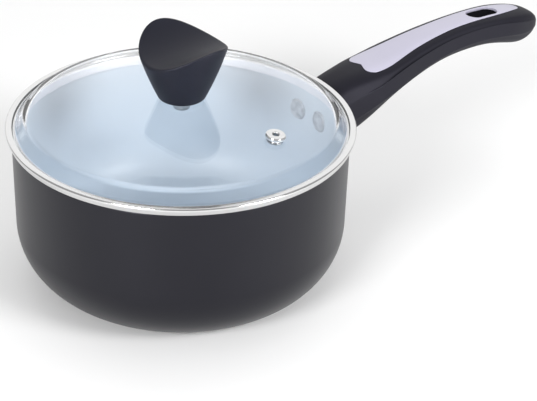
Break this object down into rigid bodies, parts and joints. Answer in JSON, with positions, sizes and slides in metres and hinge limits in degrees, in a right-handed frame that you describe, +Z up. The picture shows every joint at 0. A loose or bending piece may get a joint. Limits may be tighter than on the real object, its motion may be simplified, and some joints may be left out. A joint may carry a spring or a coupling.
{
  "type": "saucepan with glass lid",
  "caption": "Round saucepan with a pale ceramic inside, a long curved handle with a hanging slot, and a loose domed glass lid with a steel band, steam vent and scooped knob.",
  "frame": {"origin": "centre of the underside, on the pan's axis", "axes": "+Z up, +X along the handle"},
  "size_m": [0.36, 0.1902, 0.1445],
  "materials": {
    "pan_paint": "satin",
    "ceramic_coat": "gloss",
    "disc_steel": "satin",
    "bracket_steel": "satin",
    "rivet_coat": "satin",
    "collar_steel": "gloss",
    "handle_plastic": "matte",
    "inlay_plastic": "satin",
    "zinc_steel": "satin",
    "lid_glass": "gloss",
    "band_steel": "gloss",
    "vent_steel": "gloss",
    "silicone": "matte",
    "knob_plastic": "matte",
    "insert_brass": "satin"
  },
  "bodies": {
    "pan": {"pan_body": "pan_paint", "ceramic_lining": "ceramic_coat", "base_disc": "disc_steel", "handle_bracket": "bracket_steel", "bracket_rivets": "rivet_coat", "flame_guard": "collar_steel", "handle_body": "handle_plastic", "handle_inlay": "inlay_plastic", "handle_washer": "zinc_steel", "handle_screw": "zinc_steel", "tang_nut": "zinc_steel"},
    "lid": {"lid_glass": "lid_glass", "lid_rim": "band_steel", "vent_eyelet": "vent_steel", "vent_gasket": "silicone", "knob": "knob_plastic", "knob_gasket": "silicone", "knob_insert": "insert_brass", "screw_gasket": "silicone", "screw_washer": "zinc_steel", "knob_screw": "zinc_steel"}
  },
  "joints": [
    {"name": "lid_lift", "type": "slide", "parent": "pan", "child": "lid", "axis": [0, 0, 1], "range_m": [0, 0.12]}
  ]
}
